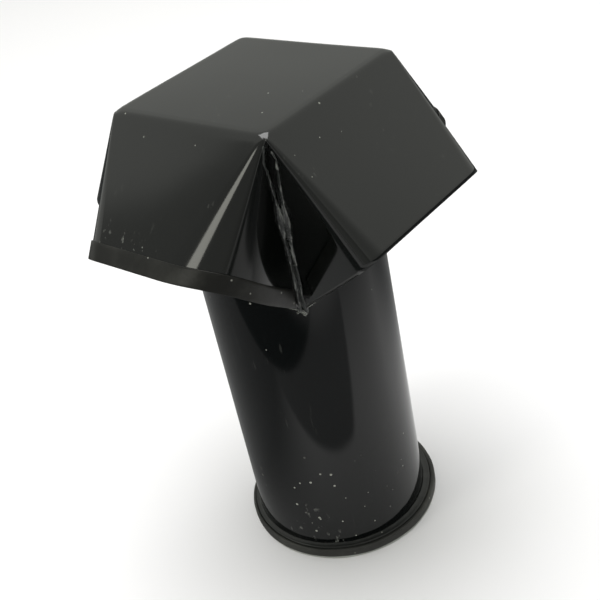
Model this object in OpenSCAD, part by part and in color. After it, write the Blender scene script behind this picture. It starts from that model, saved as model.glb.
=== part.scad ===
// Roof vent cover: a round stack tube with a rain hood folded from one square sheet.
// The origin is the centre of the underside, on the tube's axis, and +Z is up.

/* [Tube] */
// Outside diameter of the stack tube
tube_od = 110; // [90:1:130]
// Wall of the stack tube
tube_wall = 2; // [1.5:0.5:4]
// Air gap between the tube's top and the underside of the hood
air_gap = 28; // [22:1:40]

/* [Hood] */
// Height from the roof to the top of the hood
total_h = 299; // [270:1:360]
// Side of the flat square top
top_w = 104; // [98:1:114]
// Length of each sloping flap, from its top fold to its lower edge
flap_len = 79; // [70:1:90]
// Thickness of the folded sheet
sheet_t = 2; // [1.5:0.5:3]
// Gap between each corner tip and the tube, filled by the glue
glue_gap = 0.5; // [0.3:0.1:1.5]

/* [Corner fastening] */
// Width of the weld bead in each corner valley
weld_w = 5; // [4:0.5:7]
// Radius of the glue blob at each corner tip
glue_r = 5; // [4:0.5:7]

/* [Edge strips] */
// Width of the matte strip along the lower edge of a flap
strip_w = 10; // [6:1:16]
// Thickness of the strip
strip_t = 0.9; // [0.6:0.1:1.5]

/* [Foot] */
// Outside diameter of the base ring
ring_od = 123; // [121:1:140]
// Height of the base ring's outer band above its underside
ring_h = 6; // [5:0.5:10]
// Width of the outer band
band_w = 2.6; // [2:0.2:4]
// Thickness of the seal under the ring
seal_t = 1.5; // [1:0.5:3]

/* [Screen] */
// Pitch of the screen's bars
screen_pitch = 15; // [13:1:17]
// Width of one bar
bar_w = 1.2; // [0.8:0.2:2]
// Thickness of the screen
screen_t = 0.8; // [0.6:0.2:1.6]
// Height of the snap ring's skirt round the tube
skirt_h = 9; // [6:1:14]
// Wall of the snap ring
snap_wall = 2; // [1.5:0.5:3]
// Height of the shoulder that holds the screen over the tube's rim
shoulder_h = 1.5; // [1:0.5:3]

/* [Hidden] */
$fn = 96;

tube_r = tube_od / 2;
bore_r = tube_r - tube_wall;
tube_top = total_h - sheet_t - air_gap;
screen_z = tube_top + shoulder_h;
half_t = sheet_t / 2;
fold_z = total_h - half_t;      // height of the sheet's middle at the flat top
half_w = top_w / 2;

// The corner square of the sheet, flap_len on a side, folds along its diagonal. Its far corner is the tip,
// which comes inwards by tip_run along X and along Y and drops by tip_drop. The tilt of the flaps follows,
// because the edge from a flap's corner to the tip keeps its length.
tip_r = tube_r + glue_gap + half_t;
tip_run = half_w - tip_r / sqrt(2);
tip_drop = sqrt(2 * (flap_len * flap_len - tip_run * tip_run));
flap_tilt = asin(flap_len / sqrt(tip_run * tip_run + tip_drop * tip_drop)) + atan2(tip_run, tip_drop);
flap_reach = flap_len * cos(flap_tilt);
flap_fall = flap_len * sin(flap_tilt);

strip_lift = half_t + strip_t / 2 + 0.05;   // from the sheet's middle to the strip's middle
weld_r = weld_w / 2;
valley_half = 38.5;                         // half of the angle between the two folded faces of a corner
weld_lift = half_t / sin(valley_half) + weld_r * 0.45;
FRONT = [-1, -1];
LEFT = [-1, 1];
RIGHT = [1, -1];
BACK = [1, 1];

function unit(v) = v / norm(v);
function mix(a, b, s) = a * (1 - s) + b * s;

// Points on the middle of the sheet, each for the corner c = [x sign, y sign].
function top_corner(c) = [c[0] * half_w, c[1] * half_w, fold_z];
function tip(c) = [c[0] * (half_w - tip_run), c[1] * (half_w - tip_run), fold_z - tip_drop];
function x_end(c) = [c[0] * (half_w + flap_reach), c[1] * half_w, fold_z - flap_fall];
function y_end(c) = [c[0] * half_w, c[1] * (half_w + flap_reach), fold_z - flap_fall];

// Outward normal of a plane through three points: the side that faces away from the tube.
function normal(a, b, c) = let (n = unit(cross(b - a, c - a))) n;
function x_flap_normal(s) = [s * sin(flap_tilt), 0, cos(flap_tilt)];
function gusset_normal(c) =
    let (n = normal(top_corner(c), x_end(c), tip(c))) n[1] * c[1] < 0 ? -n : n;

// A flat plate, with round edges, between the points that are its corners.
module plate(points, t) {
    hull()
        for (p = points) translate(p) sphere(d = t, $fn = 16);
}

module gussets(c) {
    plate([top_corner(c), x_end(c), tip(c)], sheet_t);
    plate([top_corner(c), y_end(c), tip(c)], sheet_t);
}

module x_flap(s)
    plate([for (c = [[s, -1], [s, 1]]) each [top_corner(c), x_end(c)]], sheet_t);

module y_flap(s)
    plate([for (c = [[-1, s], [1, s]]) each [top_corner(c), y_end(c)]], sheet_t);

module hood_sheet() {
    color([0.16, 0.17, 0.16]) {
        plate([for (c = [FRONT, LEFT, RIGHT, BACK]) top_corner(c)], sheet_t);
        for (s = [-1, 1]) {
            x_flap(s);
            y_flap(s);
        }
        for (c = [FRONT, LEFT, RIGHT, BACK]) gussets(c);
    }
}

// The valley's own direction away from the sheet, square to the valley line.
function valley_out(c) =
    let (d = unit(tip(c) - top_corner(c)), o = [c[0], c[1], 0]) unit(o - d * (o * d));

module weld_bead(c) {
    start = mix(top_corner(c), tip(c), 0.14) + valley_out(c) * weld_lift;
    end = mix(top_corner(c), tip(c), 0.93) + valley_out(c) * weld_lift;
    difference() {
        plate([start, end], weld_w);
        gussets(c);
    }
}

module corner_weld(c) {
    color([0.11, 0.12, 0.12]) weld_bead(c);
}

module corner_weld_front() { corner_weld(FRONT); }
module corner_weld_left() { corner_weld(LEFT); }
module corner_weld_right() { corner_weld(RIGHT); }
module corner_weld_back() { corner_weld(BACK); }

module corner_glue(c) {
    color([0.8, 0.82, 0.8, 0.6])
        difference() {
            translate(tip(c) - [0, 0, glue_r * 0.45]) sphere(r = glue_r, $fn = 32);
            gussets(c);
            weld_bead(c);
            cylinder(r = tube_r, h = total_h, $fn = 192);
        }
}

module corner_glue_front() { corner_glue(FRONT); }
module corner_glue_left() { corner_glue(LEFT); }
module corner_glue_right() { corner_glue(RIGHT); }
module corner_glue_back() { corner_glue(BACK); }

// One flat length of strip: it lies on the line a to b of the sheet and reaches towards a_up and b_up.
module strip_band(a, b, a_up, b_up, n) {
    plate([for (p = [a, b, a_up, b_up]) p + n * strip_lift], strip_t);
}

// The strip round the fold between a flap and a folded corner.
module strip_bend(a, a_up, n1, n2) {
    steps = 4;
    for (i = [0 : steps - 1]) {
        from = unit(mix(n1, n2, i / steps)) * strip_lift;
        to = unit(mix(n1, n2, (i + 1) / steps)) * strip_lift;
        plate([a + from, a_up + from, a + to, a_up + to], strip_t);
    }
}

module edge_strip(s) {
    up = strip_w / flap_len;
    reach = 0.86;                // how far the strip follows a folded corner's edge, as a share of it
    color([0.13, 0.13, 0.12])
        difference() {
            union() {
                strip_band(x_end([s, -1]), x_end([s, 1]), mix(x_end([s, -1]), top_corner([s, -1]), up),
                    mix(x_end([s, 1]), top_corner([s, 1]), up), x_flap_normal(s));
                for (c = [[s, -1], [s, 1]]) {
                    a = x_end(c);
                    a_up = mix(a, top_corner(c), up);
                    b = mix(a, tip(c), reach);
                    strip_band(a, b, a_up, b + a_up - a, gusset_normal(c));
                    strip_bend(a, a_up, x_flap_normal(s), gusset_normal(c));
                }
            }
            x_flap(s);
            for (c = [[s, -1], [s, 1]]) gussets(c);
        }
}

module edge_strip_left() { edge_strip(-1); }
module edge_strip_right() { edge_strip(1); }

module stack_tube() {
    color([0.15, 0.16, 0.15])
        difference() {
            cylinder(r = tube_r, h = tube_top);
            translate([0, 0, -1]) cylinder(r = bore_r, h = tube_top + 2);
        }
}

ring_r = ring_od / 2;
groove_z = seal_t + ring_h * 0.5;

module base_ring() {
    color([0.14, 0.14, 0.13])
        rotate_extrude() {
            translate([tube_r, seal_t]) square([ring_r - tube_r, groove_z - seal_t]);
            translate([ring_r - band_w, seal_t]) square([band_w, ring_h - band_w / 2]);
            translate([ring_r - band_w / 2, seal_t + ring_h - band_w / 2]) circle(d = band_w);
        }
}

// A hollow fillet of sealant from the tube to the ring's outer band.
module foot_sealant() {
    w = ring_r - band_w - tube_r;
    h = ring_h * 0.75;
    color([0.09, 0.1, 0.09])
        rotate_extrude()
            translate([tube_r, groove_z])
                difference() {
                    square([w, h]);
                    translate([w, h]) scale([w * 0.85, h * 0.85]) circle(r = 1);
                }
}

module base_seal() {
    color([0.62, 0.63, 0.61])
        difference() {
            cylinder(r = ring_r - 0.4, h = seal_t);
            translate([0, 0, -1]) cylinder(r = tube_r, h = seal_t + 2);
        }
}

// One straight bar of the screen, along X, that ends on the rim.
module screen_bar(y) {
    reach = sqrt(pow(bore_r + tube_wall / 2, 2) - pow(abs(y) + bar_w / 2, 2));
    hull()
        for (side = [-1, 1])
            translate([side * (reach - bar_w / 2), y, screen_t / 2]) cube([bar_w, bar_w, screen_t], center = true);
}

module insect_screen() {
    count = floor(bore_r / screen_pitch);
    color([0.55, 0.57, 0.58])
        translate([0, 0, screen_z]) {
            difference() {
                cylinder(r = tube_r, h = screen_t);
                translate([0, 0, -1]) cylinder(r = bore_r + 0.2, h = screen_t + 2);
            }
            for (turn = [0, 90], i = [-count : count])
                rotate([0, 0, turn]) screen_bar(i * screen_pitch);
        }
}

// A snap ring round the tube's top. It holds the rim of the screen in a groove.
module screen_ring() {
    mouth_r = bore_r + 1;
    height = skirt_h + shoulder_h + screen_t + snap_wall;
    color([0.1, 0.1, 0.1])
        translate([0, 0, tube_top - skirt_h])
            difference() {
                cylinder(r = tube_r + snap_wall, h = height);
                translate([0, 0, -1]) cylinder(r = tube_r, h = skirt_h + 1);
                translate([0, 0, skirt_h - 1]) cylinder(r = mouth_r, h = height);
                translate([0, 0, skirt_h + shoulder_h]) cylinder(r = tube_r, h = screen_t);
            }
}

hood_sheet();
corner_weld_front();
corner_weld_left();
corner_weld_right();
corner_weld_back();
corner_glue_front();
corner_glue_left();
corner_glue_right();
corner_glue_back();
edge_strip_left();
edge_strip_right();
stack_tube();
base_ring();
foot_sealant();
base_seal();
insect_screen();
screen_ring();
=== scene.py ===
"""Looks of a roof vent cover: a folded sheet hood that stands on a round stack tube.

Every piece is in metres, in the frame's own place. The hood is one square sheet, so its mesh is made of the
straight rays that run from each top corner, as they do on a real cone-shaped bend.
"""

import logging
import math
from dataclasses import dataclass, field
from enum import Enum
from typing import Any, Callable, Iterable, Sequence, Union

import bmesh
import bpy
import numpy as np
from mathutils import Matrix, Vector, noise


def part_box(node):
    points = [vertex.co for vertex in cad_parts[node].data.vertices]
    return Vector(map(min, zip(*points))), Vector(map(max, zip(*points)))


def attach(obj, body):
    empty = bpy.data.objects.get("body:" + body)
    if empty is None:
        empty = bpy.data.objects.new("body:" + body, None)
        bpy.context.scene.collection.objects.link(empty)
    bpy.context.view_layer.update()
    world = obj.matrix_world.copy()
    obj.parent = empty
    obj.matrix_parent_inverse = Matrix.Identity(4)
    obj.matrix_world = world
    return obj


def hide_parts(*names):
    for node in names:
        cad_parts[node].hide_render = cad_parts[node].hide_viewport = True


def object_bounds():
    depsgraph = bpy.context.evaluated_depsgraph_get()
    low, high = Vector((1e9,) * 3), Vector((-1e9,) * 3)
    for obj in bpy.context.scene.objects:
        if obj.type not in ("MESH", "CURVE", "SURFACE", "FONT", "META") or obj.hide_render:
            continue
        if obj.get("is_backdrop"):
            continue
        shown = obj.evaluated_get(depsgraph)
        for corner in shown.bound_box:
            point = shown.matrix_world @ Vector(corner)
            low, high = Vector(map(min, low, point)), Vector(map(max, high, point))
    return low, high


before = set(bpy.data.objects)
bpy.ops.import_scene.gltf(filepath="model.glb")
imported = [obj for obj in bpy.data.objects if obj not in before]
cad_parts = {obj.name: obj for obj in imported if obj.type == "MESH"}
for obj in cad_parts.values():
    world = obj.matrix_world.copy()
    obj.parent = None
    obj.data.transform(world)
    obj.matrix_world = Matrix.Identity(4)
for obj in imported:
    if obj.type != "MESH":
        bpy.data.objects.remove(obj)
log = logging.getLogger("roof_vent")
MM = 0.001
BODY = "root"
VALLEY = 45.0    # degrees on the flat sheet from a flap's side fold to the valley of the corner beside it
TOP_FOLD = 90.0  # degrees on the flat sheet from a flap's side fold to its top fold
SKIN = 0.02 * MM  # air between pieces that touch


# ---- Node trees ----

class Value:
    """One output socket, with arithmetic that adds Math nodes to its tree."""

    def __init__(self, tree: "Tree", socket: bpy.types.NodeSocket | None) -> None:
        """Keep the tree and the socket."""
        self.tree = tree
        self.socket = socket

    def _math(self, operation: str, *values: Any) -> "Value":
        """Add one Math node.

        Args:
            operation: The Math node's operation.
            values: Its inputs, in order.

        Returns:
            The node's result.
        """
        return self.tree.node("ShaderNodeMath", {"operation": operation}, dict(enumerate(values)))

    def __add__(self, other: Any) -> "Value":
        """Return self + other."""
        return self._math("ADD", self, other)

    __radd__ = __add__

    def __mul__(self, other: Any) -> "Value":
        """Return self * other."""
        return self._math("MULTIPLY", self, other)

    __rmul__ = __mul__

    def __sub__(self, other: Any) -> "Value":
        """Return self - other."""
        return self._math("SUBTRACT", self, other)

    def __rsub__(self, other: Any) -> "Value":
        """Return other - self."""
        return self._math("SUBTRACT", other, self)

    def __truediv__(self, other: Any) -> "Value":
        """Return self / other."""
        return self._math("DIVIDE", self, other)

    def __rtruediv__(self, other: Any) -> "Value":
        """Return other / self."""
        return self._math("DIVIDE", other, self)

    def __gt__(self, other: Any) -> "Value":
        """Return 1 where self is over other, else 0."""
        return self._math("GREATER_THAN", self, other)

    def __lt__(self, other: Any) -> "Value":
        """Return 1 where self is under other, else 0."""
        return self._math("LESS_THAN", self, other)

    def ramp(self, low: float, high: float) -> "Value":
        """Return 0 at low and 1 at high, with a smooth step between them."""
        return self.tree.node("ShaderNodeMapRange", {"interpolation_type": "SMOOTHSTEP"},
                              {"Value": self, "From Min": low, "From Max": high})

    def most(self, other: Any) -> "Value":
        """Return the larger of self and other."""
        return self._math("MAXIMUM", self, other)

    def absolute(self) -> "Value":
        """Return self without its sign."""
        return self._math("ABSOLUTE", self)

    def cosine(self) -> "Value":
        """Return the cosine of self, which is in radians."""
        return self._math("COSINE", self)


class Tree:
    """A node tree that is built one node at a time."""

    def __init__(self, tree: bpy.types.NodeTree) -> None:
        """Empty the tree and keep it."""
        tree.nodes.clear()
        self.tree = tree

    def plug(self, socket: bpy.types.NodeSocket, value: Any) -> None:
        """Link a Value to a socket, or set the socket's own value."""
        if isinstance(value, Value):
            self.tree.links.new(value.socket, socket)
        else:
            socket.default_value = value

    def node(self, kind: str, settings: dict[str, Any] | None = None, inputs: dict[Any, Any] | None = None,
             out: Union[int, str] = 0) -> Value:
        """Add one node.

        Args:
            kind: The node's type.
            settings: Its properties, set first. "stops" fills a colour ramp with (place, colour) pairs.
            inputs: Values or links, by the socket's name or number.
            out: The output that is returned.

        Returns:
            The chosen output.
        """
        made = self.tree.nodes.new(kind)
        for name, value in (settings or {}).items():
            if name == "stops":
                ramp = made.color_ramp.elements
                while len(ramp) < len(value):
                    ramp.new(0.5)
                for stop, (place, colour) in zip(ramp, value):
                    stop.position, stop.color = place, colour
            else:
                setattr(made, name, value)
        for name, value in (inputs or {}).items():
            self.plug(made.inputs[name], value)
        return Value(self, made.outputs[out] if made.outputs else None)

    def vectors(self, operation: str, *values: Any, out: Union[int, str] = 0) -> Value:
        """Add one Vector Math node.

        Args:
            operation: The node's operation.
            values: Its vectors, in order.
            out: The output that is returned: "Value" for a number.

        Returns:
            The chosen output.
        """
        return self.node("ShaderNodeVectorMath", {"operation": operation}, dict(enumerate(values)), out)


RGB = tuple[float, float, float]


class Surface(Tree):
    """A material's tree, with one Principled shader."""

    def __init__(self, name: str, **constants: Any) -> None:
        """Start a material.

        Args:
            name: The material's name.
            constants: Principled inputs that are the same all over, with _ for a space.
        """
        self.material = bpy.data.materials.new(name)
        self.material.use_nodes = True
        super().__init__(self.material.node_tree)
        shader = self.node("ShaderNodeBsdfPrincipled")
        self.shader = shader.socket.node
        self.node("ShaderNodeOutputMaterial", None, {"Surface": shader})
        self.place = self.node("ShaderNodeTexCoord", out="Object")
        for key, value in constants.items():
            self.shader.inputs[key.replace("_", " ")].default_value = value

    def set(self, name: str, value: Any) -> None:
        """Give one Principled input a value or a link."""
        self.plug(self.shader.inputs[name], value)

    def noise(self, scale: float, detail: float = 2.0, rough: float = 0.5, stretch: RGB = (1, 1, 1)) -> Value:
        """Return a noise from 0 to 1 on Object coordinates.

        Args:
            scale: Features per metre.
            detail: Octaves.
            rough: Strength of the finer octaves.
            stretch: Factor on each axis; a small one draws the noise out along it.
        """
        where = self.node("ShaderNodeMapping", None, {"Vector": self.place, "Scale": stretch})
        return self.node("ShaderNodeTexNoise", None,
                         {"Vector": where, "Scale": scale, "Detail": detail, "Roughness": rough})

    def specks(self, scale: float, size: float, share: float) -> Value:
        """Return a mask of small round specks.

        Args:
            scale: Cells per metre.
            size: A speck's radius, as a share of a cell.
            share: Share of the cells that hold a speck.
        """
        cell = {"Vector": self.place, "Scale": scale}
        near = self.node("ShaderNodeTexVoronoi", None, cell, "Distance")
        pick = self.node("ShaderNodeTexVoronoi", None, cell, "Color")
        chance = self.node("ShaderNodeSeparateColor", None, {"Color": pick}, "Red")
        girth = self.node("ShaderNodeSeparateColor", None, {"Color": pick}, "Green")
        return (1 - (near / (girth * size + size * 0.35)).ramp(0.75, 1.0)) * (chance < share)

    def near(self, centre: RGB, radius: float, stretch: RGB = (1, 1, 1)) -> Value:
        """Return a soft spot: 1 at centre and 0 beyond radius, both in metres."""
        scaled = self.vectors("MULTIPLY", self.vectors("SUBTRACT", self.place, centre), stretch)
        length = self.vectors("LENGTH", scaled, out="Value")
        return 1 - length.ramp(radius * 0.45, radius)

    def blend(self, mask: Any, low: Any, high: Any) -> Value:
        """Return a colour that goes from low to high as the mask goes from 0 to 1."""
        four = [c if isinstance(c, Value) else (*c, 1.0) for c in (low, high)]
        return self.node("ShaderNodeMix", {"data_type": "RGBA"}, {"Factor": mask, 6: four[0], 7: four[1]}, 2)

    def bump(self, height: Value, depth: float, under: Value | None = None) -> Value:
        """Return a normal for a height from 0 to 1 that is depth metres deep."""
        inputs: dict[Any, Any] = {"Height": height, "Strength": 1.0, "Distance": depth}
        if under is not None:
            inputs["Normal"] = under
        return self.node("ShaderNodeBump", None, inputs)


@dataclass(frozen=True)
class Spot:
    """A worn or dusty place on a surface: its centre and radius in metres, and how strong it is."""
    centre: RGB
    radius: float
    strength: float = 1.0


@dataclass(frozen=True)
class GlossSheet:
    """Glossy black plastic sheet, a little uneven, with dust, scuffs and pale scrapes."""
    name: str
    colour: RGB = (0.0014, 0.0018, 0.0015)
    rough: float = 0.09
    specular: float = 0.5
    ripple: float = 0.00004
    ripple_scale: float = 14.0
    stretch: RGB = (1, 1, 1)
    dust_share: float = 0.16
    dust_zones: tuple[Spot, ...] = ()
    scrapes: tuple[Spot, ...] = ()
    scrape_stretch: RGB = (1.0, 0.85, 0.22)

    def build(self) -> bpy.types.Material:
        """Make the material."""
        s = Surface(self.name, IOR=1.5, Specular_IOR_Level=self.specular)
        cloud = s.noise(9.0, 3.0)
        film = s.noise(60.0, 5.0, 0.65)
        dust = s.specks(150.0, 0.085, self.dust_share) * s.noise(22.0, 1.0).ramp(0.42, 0.62)
        for zone in self.dust_zones:
            fine = s.specks(260.0, 0.2, 0.2).most(s.specks(150.0, 0.15, 0.3))
            dust = dust.most(fine * s.near(zone.centre, zone.radius) * zone.strength)
        scratch = s.noise(260.0, 2.0, 0.6, (1.0, 1.0, 0.12)).ramp(0.66, 0.72) * s.noise(26.0).ramp(0.5, 0.66)
        scrape = scratch * 0.12
        for place in self.scrapes:
            mark = s.noise(420.0, 2.0, 0.6, self.scrape_stretch).ramp(0.6, 0.68)
            scrape = scrape.most(mark * s.near(place.centre, place.radius) * place.strength)
        base = s.blend(cloud.ramp(0.3, 0.7), self.colour, tuple(c * 1.35 for c in self.colour))
        dusty = s.blend(dust * 0.75, base, (0.42, 0.43, 0.38))
        s.set("Base Color", s.blend(scrape * 0.5, dusty, (0.33, 0.34, 0.31)))
        s.set("Roughness", film * 0.05 + dust * 0.4 + scrape * 0.3 + (self.rough - 0.02))
        wave = s.bump(s.noise(self.ripple_scale, 1.0, 0.4, self.stretch), self.ripple)
        s.set("Normal", s.bump(film, 0.000004, wave))
        return s.material


@dataclass(frozen=True)
class MatteTrim:
    """Dull black trim or rubber, with fine grain and a dusty film."""
    name: str
    colour: RGB = (0.018, 0.018, 0.016)
    dust: RGB = (0.07, 0.07, 0.062)
    rough: float = 0.55
    grain: float = 900.0
    depth: float = 0.00005
    specular: float = 0.4

    def build(self) -> bpy.types.Material:
        """Make the material."""
        s = Surface(self.name, IOR=1.48, Specular_IOR_Level=self.specular)
        grain = s.noise(self.grain, 3.0, 0.6)
        film = s.noise(45.0, 4.0, 0.6)
        speck = s.specks(320.0, 0.16, 0.16)
        worn = s.blend(film.ramp(0.4, 0.75) * 0.55, self.colour, self.dust)
        s.set("Base Color", s.blend(speck * 0.6, worn, (0.3, 0.3, 0.27)))
        s.set("Roughness", grain * 0.16 + film * 0.1 + (self.rough - 0.12))
        s.set("Normal", s.bump(grain, self.depth))
        return s.material


@dataclass(frozen=True)
class WeldedPlastic:
    """Melted and set black plastic: streaks, pale stress marks and an uneven gloss."""
    name: str
    colour: RGB = (0.014, 0.016, 0.015)
    pale: RGB = (0.30, 0.31, 0.29)

    def build(self) -> bpy.types.Material:
        """Make the material."""
        s = Surface(self.name, IOR=1.5)
        streak = s.noise(420.0, 3.0, 0.65, (1.0, 1.0, 0.1))
        lump = s.noise(240.0, 3.0, 0.6)
        pale = streak.ramp(0.5, 0.68) * 0.75
        s.set("Base Color", s.blend(pale, self.colour, self.pale))
        s.set("Roughness", lump * 0.35 + 0.12)
        s.set("Normal", s.bump(streak, 0.0003, s.bump(lump, 0.0004)))
        return s.material


@dataclass(frozen=True)
class ClearGlue:
    """Hardened clear glue: milky, with small bubbles."""
    name: str
    colour: RGB = (0.62, 0.64, 0.58)

    def build(self) -> bpy.types.Material:
        """Make the material."""
        s = Surface(self.name, IOR=1.47, Transmission_Weight=0.75)
        cloud = s.noise(500.0, 3.0, 0.6)
        s.set("Base Color", s.blend(cloud.ramp(0.35, 0.7), tuple(c * 0.55 for c in self.colour), self.colour))
        s.set("Roughness", cloud * 0.3 + 0.05)
        s.set("Normal", s.bump(cloud, 0.0004))
        return s.material


@dataclass(frozen=True)
class Wire:
    """Drawn wire with a thin grey oxide."""
    name: str
    colour: RGB = (0.42, 0.43, 0.44)

    def build(self) -> bpy.types.Material:
        """Make the material."""
        s = Surface(self.name)
        tarnish = s.noise(380.0, 3.0)
        s.set("Metallic", 1.0)
        s.set("Base Color", s.blend(tarnish.ramp(0.4, 0.7), self.colour, tuple(c * 0.5 for c in self.colour)))
        s.set("Roughness", tarnish * 0.3 + 0.25)
        return s.material


class Finish(Enum):
    """The record's material slots, each with the finish that dresses it."""
    SHEET = "gloss_sheet"
    TUBE = "gloss_tube"
    WELD = "weld_plastic"
    GLUE = "clear_glue"
    STRIP = "matte_strip"
    RING = "ring_rubber"
    SEALANT = "sealant"
    SEAL = "seal_grey"
    WIRE = "screen_wire"
    SNAP = "snap_ring"


class Paint:
    """Makes each finish once and puts it on pieces."""

    def __init__(self) -> None:
        """List the recipes."""
        self.recipes: dict[Finish, Any] = {
            Finish.SHEET: GlossSheet(
                "hood plastic",
                scrapes=(Spot((-0.096, 0.006, 0.243), 0.010, 1.4), Spot((-0.094, 0.018, 0.248), 0.009),
                         Spot((-0.096, 0.036, 0.244), 0.011, 0.5))),
            Finish.TUBE: GlossSheet(
                "tube plastic", colour=(0.0016, 0.0021, 0.0022), rough=0.07, specular=0.32,
                ripple=0.00006, ripple_scale=11.0, stretch=(1, 1, 0.25), dust_share=0.2,
                dust_zones=(Spot((-0.047, -0.028, 0.035), 0.055),),
                scrapes=(Spot((-0.052, -0.018, 0.032), 0.014, 0.5), Spot((-0.046, -0.031, 0.012), 0.010, 0.7),
                         Spot((-0.054, -0.010, 0.016), 0.012, 0.6)),
                scrape_stretch=(0.5, 0.6, 0.45)),
            Finish.WELD: WeldedPlastic("weld"),
            Finish.GLUE: ClearGlue("glue"),
            Finish.STRIP: MatteTrim("edge strip", colour=(0.007, 0.007, 0.006), dust=(0.03, 0.03, 0.026),
                                    rough=0.36, grain=500.0, specular=0.22),
            Finish.RING: MatteTrim("ring rubber", colour=(0.020, 0.020, 0.018), rough=0.6),
            Finish.SEALANT: MatteTrim("sealant", colour=(0.006, 0.007, 0.006), dust=(0.018, 0.018, 0.016),
                                      rough=0.38, grain=260.0, depth=0.0002),
            Finish.SEAL: MatteTrim("seal", colour=(0.36, 0.37, 0.35), dust=(0.5, 0.5, 0.47), rough=0.6),
            Finish.WIRE: Wire("wire"),
            Finish.SNAP: MatteTrim("snap ring plastic", colour=(0.012, 0.012, 0.012), rough=0.4, grain=700.0),
        }
        self.made: dict[Finish, bpy.types.Material] = {}

    def of(self, finish: Finish) -> bpy.types.Material:
        """Return the finish's material, made on its first use."""
        if finish not in self.made:
            self.made[finish] = self.recipes[finish].build()
        return self.made[finish]

    def hand_in(self, piece: bpy.types.Object, finish: Finish, *nodes: str) -> bpy.types.Object:
        """Dress a piece and tie it to the frame.

        Args:
            piece: The finished mesh object.
            finish: Its finish.
            nodes: The frame's nodes that it stands for.

        Returns:
            The piece.
        """
        piece.data.materials.clear()
        piece.data.materials.append(self.of(finish))
        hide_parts(*nodes)
        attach(piece, BODY)
        log.info("%s: %d faces for %s", piece.name, len(piece.data.polygons), ", ".join(nodes))
        return piece


# ---- Mesh helpers ----

def link(name: str, data: bpy.types.ID) -> bpy.types.Object:
    """Return a new object that holds the data, linked to the scene."""
    made = bpy.data.objects.new(name, data)
    bpy.context.scene.collection.objects.link(made)
    return made


def make_object(name: str, points: Sequence[Sequence[float]], faces: Iterable[Sequence[int]],
                smooth: bool = True) -> bpy.types.Object:
    """Make a mesh object at the origin.

    Args:
        name: The object's name.
        points: Vertex places in metres.
        faces: Vertex numbers of each face, anticlockwise from outside.
        smooth: Shade it smooth.

    Returns:
        The linked object.
    """
    mesh = bpy.data.meshes.new(name)
    mesh.from_pydata([tuple(map(float, p)) for p in points], [], [tuple(map(int, f)) for f in faces])
    mesh.validate()
    if smooth:
        mesh.shade_smooth()
    return link(name, mesh)


def apply_modifiers(piece: bpy.types.Object) -> bpy.types.Object:
    """Turn a piece and its modifiers into one plain mesh."""
    graph = bpy.context.evaluated_depsgraph_get()
    plain = bpy.data.meshes.new_from_object(piece.evaluated_get(graph))
    piece.modifiers.clear()
    old = piece.data
    piece.data = plain
    plain.name = piece.name
    if isinstance(old, bpy.types.Mesh) and not old.users:
        bpy.data.meshes.remove(old)
    return piece


class Recipe(Tree):
    """A Geometry Nodes tree with named sizes. It ends in one plain, dressed mesh."""

    def __init__(self, name: str, sizes: dict[str, float | int]) -> None:
        """Start a tree.

        Args:
            name: The tree's name.
            sizes: Its named inputs and their usual values; a whole number makes a whole-number input.
        """
        group = bpy.data.node_groups.new(name, "GeometryNodeTree")
        super().__init__(group)
        group.interface.new_socket("Geometry", in_out="INPUT", socket_type="NodeSocketGeometry")
        group.interface.new_socket("Geometry", in_out="OUTPUT", socket_type="NodeSocketGeometry")
        for key, value in sizes.items():
            kind = "NodeSocketInt" if isinstance(value, int) else "NodeSocketFloat"
            group.interface.new_socket(key, in_out="INPUT", socket_type=kind).default_value = value
        self.entry = group.nodes.new("NodeGroupInput")

    def size(self, name: str) -> Value:
        """Return one of the tree's inputs."""
        return Value(self, self.entry.outputs[name])

    def vector(self, x: Any = 0.0, y: Any = 0.0, z: Any = 0.0) -> Value:
        """Return a vector of three values."""
        return self.node("ShaderNodeCombineXYZ", None, {"X": x, "Y": y, "Z": z})

    def end(self, parts: Sequence[Value], material: bpy.types.Material) -> None:
        """Join the parts, make them real and dress them.

        Args:
            parts: Geometry outputs.
            material: Their material.
        """
        joined = self.tree.nodes.new("GeometryNodeJoinGeometry")
        for part in parts:
            self.tree.links.new(part.socket, joined.inputs[0])
        real = self.node("GeometryNodeRealizeInstances", None, {0: Value(self, joined.outputs[0])})
        smooth = self.node("GeometryNodeSetShadeSmooth", None, {"Geometry": real})
        dressed = self.node("GeometryNodeSetMaterial", None, {"Geometry": smooth, "Material": material})
        self.node("NodeGroupOutput", None, {0: dressed})

    def grow(self, piece: bpy.types.Object, **sizes: float | int) -> bpy.types.Object:
        """Run the tree on a piece and keep the result as its plain mesh.

        Args:
            piece: The object that the tree starts from.
            sizes: Inputs that differ from their usual values, with _ for a space.

        Returns:
            The piece.
        """
        modifier = piece.modifiers.new(self.tree.name, "NODES")
        modifier.node_group = self.tree
        for item in self.tree.interface.items_tree:
            key = item.name.replace(" ", "_")
            if item.item_type == "SOCKET" and item.in_out == "INPUT" and key in sizes:
                modifier[item.identifier] = sizes[key]
        return apply_modifiers(piece)


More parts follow.
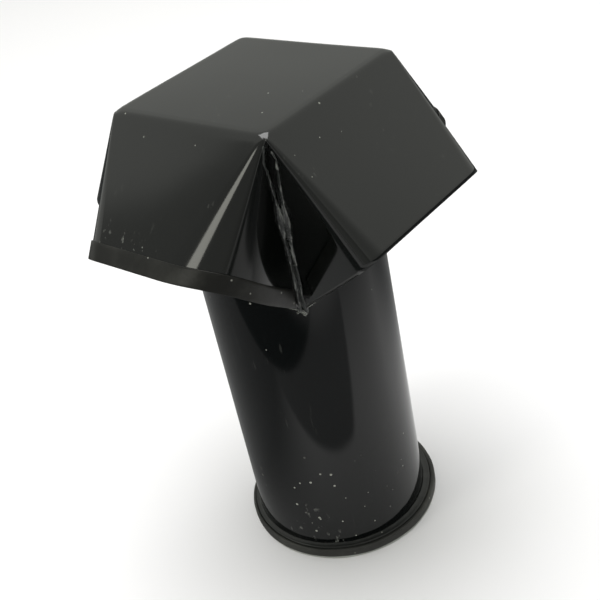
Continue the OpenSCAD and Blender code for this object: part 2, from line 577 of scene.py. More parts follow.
def revolve(name: str, profile: Sequence[tuple[float, float]], steps: int = 256,
            shift: Callable[[float, float, float], tuple[float, float]] | None = None) -> bpy.types.Object:
    """Turn a closed outline about the Z axis.

    Args:
        name: The object's name.
        profile: (radius, height) points in metres, anticlockwise with the radius to the right.
        steps: Faces round the axis.
        shift: Optional change of a point: (angle, radius, height) to (radius, height).

    Returns:
        The closed ring.
    """
    points, faces = [], []
    count = len(profile)
    for i in range(steps):
        angle = 2 * math.pi * i / steps
        for r, z in profile:
            rr, zz = shift(angle, r, z) if shift else (r, z)
            points.append((rr * math.cos(angle), rr * math.sin(angle), zz))
    for i in range(steps):
        j = (i + 1) % steps
        for k in range(count):
            m = (k + 1) % count
            faces.append((i * count + k, j * count + k, j * count + m, i * count + m))
    return make_object(name, points, faces)


def uneven(angle: float, waves: float, height: float) -> float:
    """Return a smooth noise round the Z axis, from -1 to 1. More waves make it change faster."""
    return noise.noise(Vector((math.cos(angle) * waves, math.sin(angle) * waves, height)))


def thicken(piece: bpy.types.Object, thickness: float) -> None:
    """Give a thin sheet its thickness, half of it on each side."""
    wall = piece.modifiers.new("wall", "SOLIDIFY")
    wall.thickness = thickness
    wall.offset = 0.0
    wall.use_even_offset = False


def rounded(outline: Sequence[tuple[float, float]], radius: float,
            steps: int = 4) -> list[tuple[float, float]]:
    """Round every corner of a closed outline.

    Args:
        outline: (radius, height) corners in metres.
        radius: Size of the rounding, kept under half of each side.
        steps: Points on each rounding, less one.

    Returns:
        The rounded outline.
    """
    result = []
    corners = [Vector(p) for p in outline]
    for i, corner in enumerate(corners):
        before, after = corners[i - 1] - corner, corners[(i + 1) % len(corners)] - corner
        reach = min(radius, before.length * 0.45, after.length * 0.45)
        start, end = corner + before.normalized() * reach, corner + after.normalized() * reach
        for k in range(steps + 1):
            t = k / steps
            p = start.lerp(corner, t).lerp(corner.lerp(end, t), t)
            result.append((p.x, p.y))
    return result


def slerp(a: np.ndarray, b: np.ndarray, t: float) -> np.ndarray:
    """Return the unit vector a share t of the way from a to b, along the great circle."""
    angle = math.acos(float(np.clip(a @ b, -1, 1)))
    if angle < 1e-6:
        return a
    return (math.sin((1 - t) * angle) * a + math.sin(t * angle) * b) / math.sin(angle)


# ---- The folded hood ----

@dataclass(frozen=True)
class Panel:
    """One flap with the two folded half-corners beside it.

    Attributes:
        axis: 0 for a flap that faces along X, 1 along Y.
        sign: The side it faces.
        bends: Half-angle of the cone bend at its low and its high end, in degrees.
    """
    axis: int
    sign: int
    bends: tuple[float, float]

    @property
    def out(self) -> np.ndarray:
        """The level direction that the flap faces."""
        v = np.zeros(3)
        v[self.axis] = self.sign
        return v

    @property
    def along(self) -> np.ndarray:
        """The level direction along the flap's top fold."""
        v = np.zeros(3)
        v[1 - self.axis] = 1
        return v


@dataclass
class FoldedHood:
    """The hood: a square sheet with four flaps and four pinched corners."""
    half_top: float = 52 * MM
    flap: float = 79 * MM
    sheet: float = 2 * MM
    tip_gap: float = 1.5 * MM
    nose: float = 4.0 * MM
    rows: int = 44
    flat_columns: int = 40
    panels: tuple[Panel, ...] = (
        Panel(0, -1, (30.0, 10.0)), Panel(0, 1, (9.0, 14.0)),
        Panel(1, -1, (9.0, 8.0)), Panel(1, 1, (10.0, 12.0)))
    top_z: float = field(init=False)
    run: float = field(init=False)
    drop: float = field(init=False)
    tilt: float = field(init=False)

    def __post_init__(self) -> None:
        """Work out the fold from the sheet's sizes and the tube's radius."""
        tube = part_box("stack_tube")[1].x
        self.top_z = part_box("hood_sheet")[1].z - self.sheet / 2
        self.run = self.half_top - (tube + self.tip_gap) / math.sqrt(2)
        self.drop = math.sqrt(2 * (self.flap ** 2 - self.run ** 2))
        self.tilt = math.asin(self.flap / math.hypot(self.run, self.drop)) + math.atan2(self.run, self.drop)

    def corner(self, panel: Panel, end: int) -> np.ndarray:
        """Return the top corner at one end of a panel."""
        return panel.out * self.half_top + panel.along * end * self.half_top + np.array((0, 0, self.top_z))

    def ray(self, panel: Panel, end: int, angle: float) -> np.ndarray:
        """Return the direction of one straight ray of the sheet from a top corner.

        Args:
            panel: The panel that holds the ray.
            end: Which of its top corners, -1 or 1.
            angle: Degrees on the flat sheet from the flap's side fold: -90 is along the top fold and 45 is
                the valley.

        Returns:
            A unit vector.
        """
        top = -end * panel.along
        side = panel.out * math.cos(self.tilt) - np.array((0, 0, math.sin(self.tilt)))
        valley = -panel.out * self.run - panel.along * end * self.run - np.array((0, 0, self.drop))
        valley /= np.linalg.norm(valley)

        def sharp(a: float) -> np.ndarray:
            """Return the ray of a sharp fold."""
            return slerp(side, valley, a / VALLEY) if a > 0 else slerp(side, top, -a / TOP_FOLD)

        bend = panel.bends[0 if end < 0 else 1]
        if abs(angle) >= bend:
            return sharp(angle)
        t = (angle + bend) / (2 * bend)
        first, last = sharp(-bend), sharp(bend)
        return slerp(slerp(first, side, t), slerp(side, last, t), t)

    def blunt(self, p: np.ndarray) -> np.ndarray:
        """Return a point with the hood's top corners rounded off, the front one most.

        Args:
            p: A point of the sharp sheet.
        """
        inward = np.array((*-np.copysign(0.45, p[:2]), -0.77))
        corner = np.array((*np.copysign(self.half_top, p[:2]), self.top_z))
        run = float(np.linalg.norm(p - corner))
        reach = self.nose if max(p[0], p[1]) < 0 else self.nose * 0.45
        return p + inward * 0.2 * reach * math.exp(-run / reach)

    def fill_out(self, panel: Panel, top: np.ndarray, p: np.ndarray, turn: float) -> np.ndarray:
        """Return a point of a folded corner, filled out where it is close under the top corner.

        Args:
            panel: The point's panel; not used.
            top: The top corner.
            p: The point on the sharp fold.
            turn: Its angle from the valley, in degrees of the flat sheet.
        """
        run = float(np.linalg.norm(p - top))
        share = math.exp(-(run / (1.2 * self.nose)) ** 2) * (1 - min(turn, VALLEY) / VALLEY)
        level = np.sign((top[0], top[1], 0.0)) * math.cos(self.tilt) / 2
        bridge = top + (level - np.array((0, 0, math.sin(self.tilt)))) * run
        return p + (bridge - p) * share

    def columns(self, panel: Panel, reach: float = VALLEY) -> list[tuple[np.ndarray, np.ndarray, float]]:
        """List a panel's straight lines, from its low end to its high end.

        Args:
            panel: The panel.
            reach: How far into each folded corner to go, in degrees of the flat sheet.

        Returns:
            For each line its upper end, its lower end and its angle from the valley in degrees.
        """
        lines: list[tuple[np.ndarray, np.ndarray, float]] = []
        ends: dict[int, list[tuple[np.ndarray, np.ndarray, float]]] = {}
        for end in (-1, 1):
            bend = panel.bends[0 if end < 0 else 1]
            start = self.corner(panel, end)
            angles = np.concatenate((np.linspace(reach, bend, 16)[:-1], np.linspace(bend, -bend, 22)))
            lows = [start + self.ray(panel, end, a) * self.flap / math.cos(math.radians(a)) for a in angles]
            ends[end] = [(start, low, VALLEY - a) for low, a in zip(lows, angles)]
        lines += ends[-1]
        low, high = ends[-1][-1][1], ends[1][-1][1]
        for t in self.spread()[1:-1]:
            top = self.corner(panel, -1) * (1 - t) + self.corner(panel, 1) * t
            lines.append((top, low * (1 - t) + high * t, TOP_FOLD))
        lines += ends[1][::-1]
        return lines

    def spread(self) -> np.ndarray:
        """Return shares from 0 to 1 across a top fold, closer together near its ends."""
        t = np.linspace(-1, 1, self.flat_columns + 1)
        return 0.5 + 0.5 * np.sign(t) * (1 - (1 - np.abs(t)) ** 1.7)

    def swell(self, p: np.ndarray) -> np.ndarray:
        """Return the small unevenness of the sheet at a point: a shift in metres."""
        n = [noise.noise(Vector(p * 14.0) + Vector((7.0 * k, 3.0, 1.0))) for k in range(3)]
        return np.array(n) * 0.5 * MM

    def grid(self, panel: Panel, reach: float, first: float, last: float, rows: int,
             power: float) -> tuple[np.ndarray, np.ndarray]:
        """Return points on a panel, one row of points for each of its lines.

        Args:
            panel: The panel.
            reach: How far into each folded corner to go, in degrees.
            first: Share down each line where the rows start.
            last: Share where they end.
            rows: Number of spaces between rows.
            power: Over 1 puts the rows closer together near the start.

        Returns:
            The points, and a softness from 0 to 1 for each.
        """
        shares = first + (last - first) * np.linspace(0, 1, rows + 1) ** power
        points, soft = [], []
        for top, low, turn in self.columns(panel, reach):
            for s in shares:
                p = top + (low - top) * s
                run = float(np.linalg.norm(p - top))
                if turn < VALLEY:
                    p = self.fill_out(panel, top, p, turn)
                fold = math.exp(-(run / (1.4 * MM)) ** 2)
                pocket = math.exp(-(run / (6.0 * MM)) ** 2)
                valley = math.exp(-(run * math.sin(math.radians(min(turn, TOP_FOLD))) / (1.6 * MM)) ** 2)
                points.append(p)
                soft.append(max(fold, pocket, valley * 0.5))
        count = len(points) // (rows + 1)
        return np.array(points).reshape(count, rows + 1, 3), np.array(soft).reshape(count, rows + 1)

    def middle(self) -> tuple[np.ndarray, list[tuple[int, ...]]]:
        """Return the points and faces of the sheet's middle surface, with its folds rounded."""
        store: dict[tuple[int, int, int], int] = {}
        points: list[np.ndarray] = []
        soft: list[float] = []
        faces: set[tuple[int, ...]] = set()

        def add(p: np.ndarray, s: float) -> int:
            """Return the number of the point at p."""
            key = tuple(int(v) for v in np.round(p / SKIN))
            if key not in store:
                store[key] = len(points)
                points.append(p)
                soft.append(s)
            return store[key]

        def quads(block: np.ndarray, softness: np.ndarray, flip: bool) -> None:
            """Add a block of faces."""
            ids = [[add(p, s) for p, s in zip(line, row)] for line, row in zip(block, softness)]
            for a, b in zip(ids, ids[1:]):
                for k in range(len(a) - 1):
                    face = list(dict.fromkeys((a[k], a[k + 1], b[k + 1], b[k])))
                    if len(face) > 2:
                        faces.add(tuple(face[::-1] if flip else face))

        for panel in self.panels:
            block, softness = self.grid(panel, VALLEY, 0.0, 1.0, self.rows, 1.5)
            quads(block, softness, (panel.sign > 0) == (panel.axis == 1))
        line = (self.spread() * 2 - 1) * self.half_top
        x, y = np.meshgrid(line, line, indexing="ij")
        block = np.stack((x, y, np.full_like(x, self.top_z)), -1)
        edge = self.half_top - np.maximum(abs(x), abs(y))
        tip = np.hypot(self.half_top - abs(x), self.half_top - abs(y))
        softness = np.maximum(np.exp(-(edge / (1.4 * MM)) ** 2), np.exp(-(tip / (1.6 * MM)) ** 2))
        quads(block, softness, False)
        return self.relax(np.array(points), np.array(soft), list(faces)), list(faces)

    def relax(self, points: np.ndarray, soft: np.ndarray, faces: list[tuple[int, ...]],
              turns: int = 30) -> np.ndarray:
        """Round the folds by moving soft points towards their neighbours.

        Args:
            points: The points.
            soft: How much each may move, from 0 to 1.
            faces: The faces.
            turns: Number of passes.

        Returns:
            The moved points.
        """
        edges: dict[tuple[int, int], int] = {}
        for face in faces:
            for a, b in zip(face, face[1:] + face[:1]):
                key = (min(a, b), max(a, b))
                edges[key] = edges.get(key, 0) + 1
        pairs = np.array(list(edges))
        free = soft.copy()
        free[np.unique(pairs[np.array(list(edges.values())) == 1])] = 0
        degree = np.zeros(len(points))
        np.add.at(degree, pairs.ravel(), 1)
        for _ in range(turns):
            total = np.zeros_like(points)
            np.add.at(total, pairs[:, 0], points[pairs[:, 1]])
            np.add.at(total, pairs[:, 1], points[pairs[:, 0]])
            points = points + (total / degree[:, None] - points) * (free * 0.6)[:, None]
        return points

    def build(self) -> bpy.types.Object:
        """Make the sheet."""
        points, faces = self.middle()
        points = np.array([self.blunt(p) + self.swell(p) for p in points])
        piece = make_object("hood_shell", points, faces)
        shell = bmesh.new()
        shell.from_mesh(piece.data)
        bmesh.ops.remove_doubles(shell, verts=shell.verts, dist=SKIN)
        shell.normal_update()
        top = max(shell.faces, key=lambda f: f.calc_center_median().z)
        bmesh.ops.recalc_face_normals(shell, faces=shell.faces)
        if top.normal.z < 0:
            bmesh.ops.reverse_faces(shell, faces=shell.faces)
        shell.to_mesh(piece.data)
        shell.free()
        thicken(piece, self.sheet)
        return apply_modifiers(piece)

    def strip(self, panel: Panel, name: str, width: float = 10 * MM, lift: float = 1.45 * MM,
              thick: float = 0.9 * MM) -> bpy.types.Object:
        """Make the matte strip along a flap's lower edge.

        Args:
            panel: The flap's panel.
            name: The piece's name.
            width: The strip's width.
            lift: Height of its middle over the sheet's middle.
            thick: Its thickness.

        Returns:
            The strip.
        """
        block, _ = self.grid(panel, 41.0, 1 - width / self.flap, 1.0, 6, 1.0)
        lines, rows = block.shape[:2]
        across = np.gradient(block, axis=0)
        down = np.gradient(block, axis=1)
        normal = np.cross(across, down)
        normal /= np.linalg.norm(normal, axis=2, keepdims=True)
        middle = block[lines // 2, rows // 2]
        if normal[lines // 2, rows // 2] @ middle < 0:
            normal = -normal
        block = block + normal * lift
        points = [p + self.swell(p) for p in block.reshape(-1, 3)]
        faces = [(i * rows + k, i * rows + k + 1, (i + 1) * rows + k + 1, (i + 1) * rows + k)
                 for i in range(lines - 1) for k in range(rows - 1)]
        piece = make_object(name, points, faces)
        mesh = bmesh.new()
        mesh.from_mesh(piece.data)
        probe = next(f for f in mesh.faces)
        probe.normal_update()
        if probe.normal.dot(Vector(normal[0, 0])) < 0:
            bmesh.ops.reverse_faces(mesh, faces=mesh.faces)
        mesh.to_mesh(piece.data)
        mesh.free()
        thicken(piece, thick)
        edge = piece.modifiers.new("edge", "BEVEL")
        edge.width = thick * 0.3
        edge.segments = 2
        edge.limit_method = "ANGLE"
        edge.angle_limit = math.radians(50)
        return apply_modifiers(piece)


# ---- Corner fastenings ----

@dataclass
class CornerFastening:
    """The weld in one pinched corner's valley and the glue at its tip.

    Attributes:
        hood: The hood that it belongs to.
        name: Which corner it is.
        side_x: The corner's side along X.
        side_y: The corner's side along Y.
        seed: Makes each corner's bead its own.
        flare: How much farther apart the two ridges stand at the top, in metres.
        ridge: Radius of a ridge.
        apart: Distance of each ridge from the valley's middle, below the knot.
        knot: Share down the valley where the ridges come together in a thick knot.
    """
    hood: FoldedHood
    name: str
    side_x: int
    side_y: int
    seed: int
    flare: float = 3.0 * MM
    ridge: float = 1.25 * MM
    apart: float = 1.5 * MM
    knot: float = 0.42

    @property
    def top(self) -> np.ndarray:
        """The hood's top corner above the valley."""
        return np.array((self.side_x * self.hood.half_top, self.side_y * self.hood.half_top, self.hood.top_z))

    @property
    def tip(self) -> np.ndarray:
        """The low end of the valley, against the tube."""
        inward = np.array((self.side_x, self.side_y, 0)) * self.hood.run
        return self.top - inward - np.array((0, 0, self.hood.drop))

    def axes(self) -> tuple[np.ndarray, np.ndarray, np.ndarray]:
        """Return the valley's own directions: down along it, out of it, and across it."""
        down = self.tip - self.top
        down /= np.linalg.norm(down)
        out = np.array((self.side_x, self.side_y, 0.0))
        out -= down * (out @ down)
        out /= np.linalg.norm(out)
        return down, out, np.cross(down, out)

    def paths(self) -> bpy.types.Object:
        """Make the two lines that the weld's ridges follow."""
        down, out, across = self.axes()
        length = float(np.linalg.norm(self.tip - self.top))
        points, edges = [], []
        for side in (-1, 1):
            for i, t in enumerate(np.linspace(0.07 if side < 0 else 0.05, 0.985, 60)):
                spread = min(self.apart + self.flare * max(0.0, 1 - t / self.knot) ** 1.6, 0.3 * t * length)
                wander = 0.35 * MM * math.sin(t * 31.0 + self.seed + side) * t
                rise = 1.35 * MM + spread
                p = self.top + down * t * length + across * side * (spread + wander) + out * rise
                points.append(p)
                if i:
                    edges.append((len(points) - 2, len(points) - 1))
        mesh = bpy.data.meshes.new("weld_" + self.name)
        mesh.from_pydata([tuple(p) for p in points], edges, [])
        return link("weld_" + self.name, mesh)

    @staticmethod
    def bead_recipe(material: bpy.types.Material) -> Recipe:
        """Make the tree that turns two lines into a lumpy double weld bead."""
        r = Recipe("weld bead", {"Ridge Radius": 0.001, "Unevenness": 0.0004, "Lumps": 26, "Seed": 1})
        line = r.node("GeometryNodeMeshToCurve", None, {"Mesh": r.size("Geometry")})
        even = r.node("GeometryNodeResampleCurve", None, {"Curve": line, "Count": 150})
        where = r.node("GeometryNodeInputPosition")
        drift = r.vectors("ADD", where, r.vector(r.size("Seed") * 0.37))
        share = r.node("GeometryNodeSplineParameter")
        knot = (1 - (share - CornerFastening.knot).absolute().ramp(0.03, 0.12)) * 0.9
        swell = r.node("ShaderNodeTexNoise", None, {"Vector": drift, "Scale": 170.0, "Detail": 2.0}) + knot
        girth = swell * 1.3 + 0.35
        bead = r.node("GeometryNodeSetCurveRadius", None, {"Curve": even, "Radius": girth})
        ring = r.node("GeometryNodeCurvePrimitiveCircle", None,
                      {"Resolution": 10, "Radius": r.size("Ridge Radius")})
        tube = r.node("GeometryNodeCurveToMesh", None,
                      {"Curve": bead, "Profile Curve": ring, "Fill Caps": True,
                       "Scale": girth * (share.ramp(0.0, 0.4) * 0.25 + 0.75)})
        rough = r.node("ShaderNodeTexNoise", None, {"Vector": drift, "Scale": 420.0, "Detail": 3.0}, "Color")
        centred = r.vectors("SUBTRACT", rough, (0.5, 0.5, 0.5))
        push = r.node("ShaderNodeVectorMath", {"operation": "SCALE"},
                      {0: centred, "Scale": r.size("Unevenness") * 2.0})
        uneven = r.node("GeometryNodeSetPosition", None, {"Geometry": tube, "Offset": push})
        spots = r.node("GeometryNodeCurveToPoints", None, {"Curve": even, "Count": r.size("Lumps")})
        blob = r.node("GeometryNodeMeshIcoSphere", None,
                      {"Radius": r.size("Ridge Radius"), "Subdivisions": 2})
        shape = r.node("FunctionNodeRandomValue", {"data_type": "FLOAT_VECTOR"},
                       {0: (0.5, 0.5, 0.6), 1: (1.5, 1.5, 2.0), "Seed": r.size("Seed")})
        chance = r.node("FunctionNodeRandomValue", {"data_type": "BOOLEAN"},
                        {"Probability": 0.55, "Seed": r.size("Seed") + 4.0}, 3)
        lumps = r.node("GeometryNodeInstanceOnPoints", None,
                       {"Points": spots, "Selection": chance, "Instance": blob, "Scale": shape})
        r.end([uneven, lumps], material)
        return r

    def glue(self, voxel: float = 0.3 * MM) -> bpy.types.Object:
        """Make the clear blob at the tip: drops that run together."""
        out = np.array((self.side_x, self.side_y, 0.0)) / math.sqrt(2)
        across = np.array((-out[1], out[0], 0.0))
        base = np.array((0, 0, self.tip[2])) + out * (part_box("stack_tube")[1].x)
        rng = np.random.default_rng(self.seed)
        drops = [(0.9, 0.0, -0.5, 2.2), (1.2, 0.0, 2.6, 1.7), (1.0, 0.0, 5.2, 1.2), (0.4, 0.6, -3.2, 1.5)]
        drops += [(0.6 + rng.uniform(-0.3, 0.3), side * step * 1.7, 0.2 + step * 0.5, 1.7 - step * 0.26)
                  for side in (-1, 1) for step in range(1, 5)]
        drops += [(0.3, -3.4 + rng.uniform(-1, 1), -2.2, 0.9), (0.2, 2.4 + rng.uniform(-1, 1), -3.4, 0.8)]
        mesh = bmesh.new()
        for o, a, z, r in drops:
            p = base + out * o * MM + across * a * MM + np.array((0, 0, z * MM))
            girth = Matrix.Diagonal((1.0, 1.0, rng.uniform(0.9, 1.3), 1.0))
            bmesh.ops.create_icosphere(mesh, subdivisions=3, radius=r * MM,
                                       matrix=Matrix.Translation(Vector(p)) @ girth)
        piece = make_object("glue_" + self.name, [(0, 0, 0)], [])
        mesh.to_mesh(piece.data)
        mesh.free()
        melt = piece.modifiers.new("melt", "REMESH")
        melt.mode = "VOXEL"
        melt.voxel_size = voxel
        settle = piece.modifiers.new("settle", "SMOOTH")
        settle.factor, settle.iterations = 0.5, 4
        apply_modifiers(piece)
        piece.data.shade_smooth()
        return piece


# ---- Tube, foot and screen ----

@dataclass
class Stack:
    """The tube and what is fixed round its two ends."""
    wall: float = 2 * MM
    flange: float = 3 * MM
    band: float = 2.6 * MM
    waviness: float = 0.12 * MM
    off_centre: float = 1.8 * MM

    def __post_init__(self) -> None:
        """Read the places from the frame."""
        self.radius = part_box("stack_tube")[1].x
        self.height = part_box("stack_tube")[1].z

    def aside(self, angle: float, r: float, outer: float) -> float:
        """Return how far out a foot point moves, as the foot's ring sits a little to one side.

        Args:
            angle: Its direction from the axis.
            r: Its radius in metres.
            outer: The radius that moves in full.
        """
        return self.off_centre * math.cos(angle) * (r - self.radius) / (outer - self.radius)

    def tube(self, rows: int = 70) -> bpy.types.Object:
        """Make the tube, a little out of true as rolled sheet is."""
        outer, inner = self.radius, self.radius - self.wall
        round_off = 0.4 * MM
        heights = np.linspace(round_off, self.height - round_off, rows)
        profile = [(outer, z) for z in heights]
        profile += [(outer - round_off, self.height), (inner + round_off, self.height)]
        profile += [(inner, z) for z in heights[::-1]]
        profile += [(inner + round_off, 0.0), (outer - round_off, 0.0)]

        def out_of_true(angle: float, r: float, z: float) -> tuple[float, float]:
            """Return the point with the tube's slow waves."""
            return r + uneven(angle, 1.3, z * 9.0) * self.waviness, z

        return revolve("tube", profile, 256, out_of_true)

    def ring(self) -> bpy.types.Object:
        """Make the soft ring round the foot: a flange with a raised outer band."""
        low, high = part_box("base_ring")
        outer, base, top = high.x, low.z, high.z
        floor = base + self.flange
        inner = self.radius + SKIN
        outline = [(inner, base), (outer, base), (outer, top), (outer - self.band, top),
                   (outer - self.band * 1.15, floor), (inner, floor)]

        def soft(angle: float, r: float, z: float) -> tuple[float, float]:
            """Return the point with the ring's uneven edge."""
            slow, fast = uneven(angle, 2.2, 4.0), uneven(angle, 5.0, 9.0)
            lift = (z - base) / (top - base)
            push = (slow * 0.5 + fast * 0.15) * MM * (r - inner) / (outer - inner)
            return r + push + self.aside(angle, r, outer), z + fast * 0.35 * MM * lift

        return revolve("foot_ring", rounded(outline, 1.1 * MM, 5), 256, soft)

    def sealant(self) -> bpy.types.Object:
        """Make the bead of sealant between the tube and the ring's band."""
        low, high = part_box("foot_sealant")
        inner, outer = self.radius + SKIN, high.x - 0.1 * MM
        base, top = low.z + 0.05 * MM, high.z + 0.5 * MM
        steps = 8
        curve = [(inner + (outer - inner) * t, base + (top - base) * (0.8 + 0.2 * (1 - t) ** 2.0))
                 for t in np.linspace(0, 1, steps)]
        outline = [(inner, base), (outer, base)] + curve[::-1]

        def lumpy(angle: float, r: float, z: float) -> tuple[float, float]:
            """Return the point with the bead's lumps."""
            lump = uneven(angle, 9.0, 2.0) * 0.4 * MM
            return r + self.aside(angle, r, outer) * 0.6, z + lump * (z - base) / (top - base)

        return revolve("sealant_bead", outline, 256, lumpy)

    def seal(self) -> bpy.types.Object:
        """Make the pale washer under the ring."""
        low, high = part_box("base_seal")
        inner = self.radius + SKIN
        outline = [(inner, low.z), (high.x, low.z), (high.x, high.z), (inner, high.z)]

        def soft(angle: float, r: float, z: float) -> tuple[float, float]:
            """Return the point with the washer's uneven edge."""
            push = uneven(angle, 3.0, 7.0) * 0.5 * MM * (r - inner) / (high.x - inner)
            return r + push + self.aside(angle, r, high.x), z

        return revolve("washer", rounded(outline, 0.5 * MM, 4), 256, soft)

    def snap_ring(self) -> bpy.types.Object:
        """Make the ring that holds the screen on the tube's rim."""
        low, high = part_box("screen_ring")
        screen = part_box("insect_screen")
        skin, mouth = self.radius + SKIN, self.radius - self.wall + 1 * MM
        outline = [(skin, low.z), (high.x, low.z), (high.x, high.z), (mouth, high.z), (mouth, screen[1].z),
                   (skin, screen[1].z), (skin, screen[0].z), (mouth, screen[0].z), (mouth, self.height),
                   (skin, self.height)]
        return revolve("screen_snap_ring", rounded(outline, 0.35 * MM, 3), 160)

    def screen(self, material: bpy.types.Material, pitch: float = 2.1 * MM) -> bpy.types.Object:
        """Make the woven wire screen.

        Args:
            material: The wire's material.
            pitch: Distance from wire to wire.

        Returns:
            The screen.
        """
        low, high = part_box("insect_screen")
        r = Recipe("woven screen",
                   {"Radius": 0.05, "Pitch": 0.002, "Wire": 0.0002, "Height": 0.27, "Count": 51})
        wide = r.size("Pitch") * (r.size("Count") - 1.0)
        parts = []
        for axis, side in (("X", 1.0), ("Y", -1.0)):
            grid = r.node("GeometryNodeMeshGrid", None,
                          {"Size X": wide, "Size Y": wide, "Vertices X": r.size("Count"),
                           "Vertices Y": r.size("Count")})
            ends = [r.node("GeometryNodeInputMeshEdgeVertices", out=k) for k in ("Position 1", "Position 2")]
            size = r.node("ShaderNodeSeparateXYZ", None, {0: r.vectors("SUBTRACT", *ends)}, axis)
            cross = size.absolute() < r.size("Pitch") * 0.5
            wires = r.node("GeometryNodeDeleteGeometry", {"domain": "EDGE", "mode": "EDGE_FACE"},
                           {"Geometry": grid, "Selection": cross})
            where = r.node("GeometryNodeInputPosition")
            reach = r.vectors("LENGTH", where, out="Value")
            disc = r.node("GeometryNodeDeleteGeometry", {"domain": "POINT"},
                          {"Geometry": wires, "Selection": reach > r.size("Radius")})
            line = r.node("GeometryNodeMeshToCurve", None, {"Mesh": disc})
            cell = r.node("ShaderNodeVectorMath", {"operation": "SCALE"},
                          {0: where, "Scale": 1.0 / r.size("Pitch")})
            beats = [r.node("ShaderNodeSeparateXYZ", None, {0: cell}, k) * math.pi for k in ("X", "Y")]
            rise = beats[0].cosine() * beats[1].cosine() * r.size("Wire") * side + r.size("Height")
            woven = r.node("GeometryNodeSetPosition", None, {"Geometry": line, "Offset": r.vector(z=rise)})
            ring = r.node("GeometryNodeCurvePrimitiveCircle", None,
                          {"Resolution": 5, "Radius": r.size("Wire")})
            parts.append(r.node("GeometryNodeCurveToMesh", None,
                                {"Curve": woven, "Profile Curve": ring, "Fill Caps": True}))
        r.end(parts, material)
        start = make_object("wire_screen", [(0, 0, 0)], [])
        radius = high.x - 0.3 * MM
        return r.grow(start, Radius=radius, Pitch=pitch, Wire=0.19 * MM, Height=(low.z + high.z) / 2,
                      Count=2 * int(radius / pitch) + 1)


# ---- Scene ----

@dataclass(frozen=True)
class Shade:
    """A darker side of the room's sky, or a patch of painted reflection on the card that lies on the floor.

    Attributes:
        side: The direction that it lies in.
        edge: How far that way it starts and where it is full.
        depth: How dark it is, from 0 to 1.
    """
    side: RGB
    edge: tuple[float, float]
    depth: float

    def mask(self, tree: Tree, where: Value) -> Value:
        """Return how dark a place is, from 0 to depth."""
        return tree.vectors("DOT_PRODUCT", where, self.side, out="Value").ramp(*self.edge) * self.depth


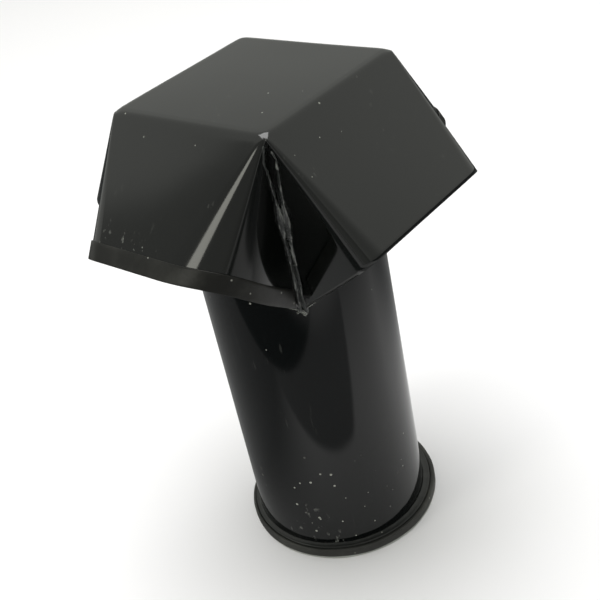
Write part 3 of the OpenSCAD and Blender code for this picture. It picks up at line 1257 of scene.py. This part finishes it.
@dataclass
class Studio:
    """The pale floor, the soft lights and the camera.

    Attributes:
        azimuth: The camera's direction from the object, in degrees.
        elevation: Its angle over the floor, in degrees.
        roll: Its turn about its own axis, in degrees.
        eye: Its place in metres.
        focal: Its focal length in millimetres, for a sensor 36 mm wide.
        shift: How far the lens is shifted, as shares of the frame.
        sky: Strength of the sky.
        walls: Darker sides of the sky.
        flags: Groups of shades. A place on the card is dark where all the shades of one group lie.
        gap: Shades that together open the card again.
    """
    azimuth: float = -43.56
    elevation: float = 31.08
    roll: float = -13.33
    eye: RGB = (-0.36014, -0.35904, 0.48604)
    focal: float = 60.71
    shift: tuple[float, float] = (0.0479, -0.0432)
    sky: float = 0.95
    walls: tuple[Shade, ...] = (
        Shade((-1.0, 0.0, 0.0), (0.526, 0.545), 0.54), Shade((0.0, -1.0, 0.0), (0.50, 0.95), 0.45),
        Shade((0.707, 0.707, 0.0), (0.70, 0.95), 0.4))
    flags: tuple[tuple[Shade, ...], ...] = (
        (Shade((-0.65, -0.76, 0.0), (0.142, 0.155), 0.68), Shade((-0.97, -0.24, 0.0), (0.080, 0.096), 1.0)),
        (Shade((-0.98, -0.21, 0.0), (0.232, 0.255), 0.99),),
        (Shade((-0.3, 0.95, 0.0), (-0.04, 0.10), 0.8),), (Shade((0.95, 0.3, 0.0), (0.04, 0.28), 0.84),))
    gap: tuple[Shade, ...] = (
        Shade((-0.85, 0.53, 0.0), (-0.285, -0.265), 0.62), Shade((-0.53, -0.85, 0.0), (0.28, 0.36), 1.0),
        Shade((0.53, 0.85, 0.0), (-1.9, -1.8), 1.0))

    @staticmethod
    def square(name: str, half: float, lift: float) -> bpy.types.Object:
        """Make a level square round the object.

        Args:
            name: Its name.
            half: Half of its side in metres.
            lift: Its height over the object's foot.

        Returns:
            The square.
        """
        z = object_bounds()[0].z + lift
        corners = [(-half, -half, z), (half, -half, z), (half, half, z), (-half, half, z)]
        return make_object(name, corners, [(0, 1, 2, 3)], smooth=False)

    def floor(self) -> None:
        """Lay a wide pale floor under the object."""
        plane = self.square("floor", 40.0, 0.0)
        s = Surface("pale floor")
        s.set("Base Color", (0.92, 0.905, 0.935, 1.0))
        s.set("Roughness", 0.7)
        plane.data.materials.append(s.material)
        plane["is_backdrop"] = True

    @staticmethod
    def overlap(s: Surface, group: Sequence[Shade]) -> Value:
        """Return a mask of the places where all of a group's shades lie."""
        mask = group[0].mask(s, s.place)
        for shade in group[1:]:
            mask = mask * shade.mask(s, s.place)
        return mask

    def flag(self) -> None:
        """Lay a card round the object; its dark patches are painted reflections on the glossy plastic. Only
        reflections see it, so the floor stays pale.
        """
        card = self.square("reflected card", 4.0, 2 * MM)
        s = Surface("dark card")
        s.set("Base Color", (0.03, 0.034, 0.036, 1.0))
        s.set("Roughness", 1.0)
        # Painted reflection: the card's dark patches stand in for the dark things that the glossy plastic
        # reflects.
        dark = s.vectors("LENGTH", s.place, out="Value").ramp(0.14, 0.55) * 0.95
        for group in self.flags:
            dark = dark.most(self.overlap(s, group))
        s.set("Alpha", dark * (1 - self.overlap(s, self.gap)))
        card.data.materials.append(s.material)
        for ray in ("camera", "diffuse", "transmission", "shadow"):
            setattr(card, "visible_" + ray, False)
        card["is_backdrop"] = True

    def lamp(self, name: str, place: RGB, target: RGB, size: tuple[float, float], power: float,
             colour: RGB = (1, 1, 1), gleam: float = 1.0) -> None:
        """Add one soft rectangular light.

        Args:
            name: The light's name.
            place: Its centre in metres.
            target: The point that it faces.
            size: Its width and height in metres.
            power: Its power in watts.
            colour: Its colour.
            gleam: How strongly it shows in reflections.
        """
        data = bpy.data.lights.new(name, "AREA")
        data.shape = "RECTANGLE"
        data.size, data.size_y = size
        data.energy = power
        data.color = colour
        data.specular_factor = gleam
        turn = (Vector(target) - Vector(place)).to_track_quat("-Z", "Y").to_matrix().to_4x4()
        link(name, data).matrix_world = Matrix.Translation(place) @ turn

    def lights(self) -> None:
        """Set the sky and the lights."""
        world = bpy.data.worlds.new("studio")
        world.use_nodes = True
        tree = Tree(world.node_tree)
        way = tree.node("ShaderNodeTexCoord", out="Generated")
        strength = 1 - self.walls[0].mask(tree, way)
        for wall in self.walls[1:]:
            strength = strength * (1 - wall.mask(tree, way))
        back = tree.node("ShaderNodeBackground", None,
                         {"Color": (0.98, 1.0, 0.94, 1.0), "Strength": strength * self.sky})
        tree.node("ShaderNodeOutputWorld", None, {"Surface": back})
        bpy.context.scene.world = world
        self.lamp("ceiling", (0.15, 0.2, 2.4), (0, 0, 0.1), (1.3, 1.3), 28.0, gleam=0.3)
        self.lamp("window", (-1.95, 0.75, 1.15), (0, 0, 0.2), (0.55, 1.0), 7.5, (1.0, 1.0, 0.9))

    def camera(self) -> None:
        """Place the camera."""
        data = bpy.data.cameras.new("camera")
        data.sensor_width = 36.0
        data.lens = self.focal
        data.shift_x, data.shift_y = self.shift
        data.dof.use_dof = False
        made = link("camera", data)
        az, el, roll = (math.radians(v) for v in (self.azimuth, self.elevation, self.roll))
        back = Vector((math.sin(az) * math.cos(el), -math.cos(az) * math.cos(el), math.sin(el)))
        right = (-back).cross(Vector((0, 0, 1))).normalized()
        up = right.cross(-back)
        tilted = right * math.cos(roll) + up * math.sin(roll)
        upward = up * math.cos(roll) - right * math.sin(roll)
        turn = Matrix((tilted, upward, back)).transposed().to_4x4()
        made.matrix_world = Matrix.Translation(self.eye) @ turn
        bpy.context.scene.camera = made


def main() -> None:
    """Build every piece, dress it, and light the scene."""
    logging.basicConfig(level=logging.INFO, format="%(name)s: %(message)s")
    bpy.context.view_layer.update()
    bpy.context.scene.view_settings.view_transform = "Standard"
    paint = Paint()
    hood = FoldedHood()
    paint.hand_in(hood.build(), Finish.SHEET, "hood_sheet")
    paint.hand_in(hood.strip(hood.panels[0], "strip_left"), Finish.STRIP, "edge_strip_left")
    paint.hand_in(hood.strip(hood.panels[1], "strip_right"), Finish.STRIP, "edge_strip_right")
    beads = CornerFastening.bead_recipe(paint.of(Finish.WELD))
    corners = (("front", -1, -1), ("left", -1, 1), ("right", 1, -1), ("back", 1, 1))
    for seed, (name, x, y) in enumerate(corners, start=3):
        corner = CornerFastening(hood, name, x, y, seed)
        weld = beads.grow(corner.paths(), Ridge_Radius=corner.ridge, Seed=corner.seed)
        paint.hand_in(weld, Finish.WELD, "corner_weld_" + name)
        paint.hand_in(corner.glue(), Finish.GLUE, "corner_glue_" + name)
    stack = Stack()
    paint.hand_in(stack.tube(), Finish.TUBE, "stack_tube")
    paint.hand_in(stack.ring(), Finish.RING, "base_ring")
    paint.hand_in(stack.sealant(), Finish.SEALANT, "foot_sealant")
    paint.hand_in(stack.seal(), Finish.SEAL, "base_seal")
    paint.hand_in(stack.snap_ring(), Finish.SNAP, "screen_ring")
    paint.hand_in(stack.screen(paint.of(Finish.WIRE)), Finish.WIRE, "insect_screen")
    studio = Studio()
    studio.floor()
    studio.flag()
    studio.lights()
    studio.camera()


if __name__ == "__main__":
    main()
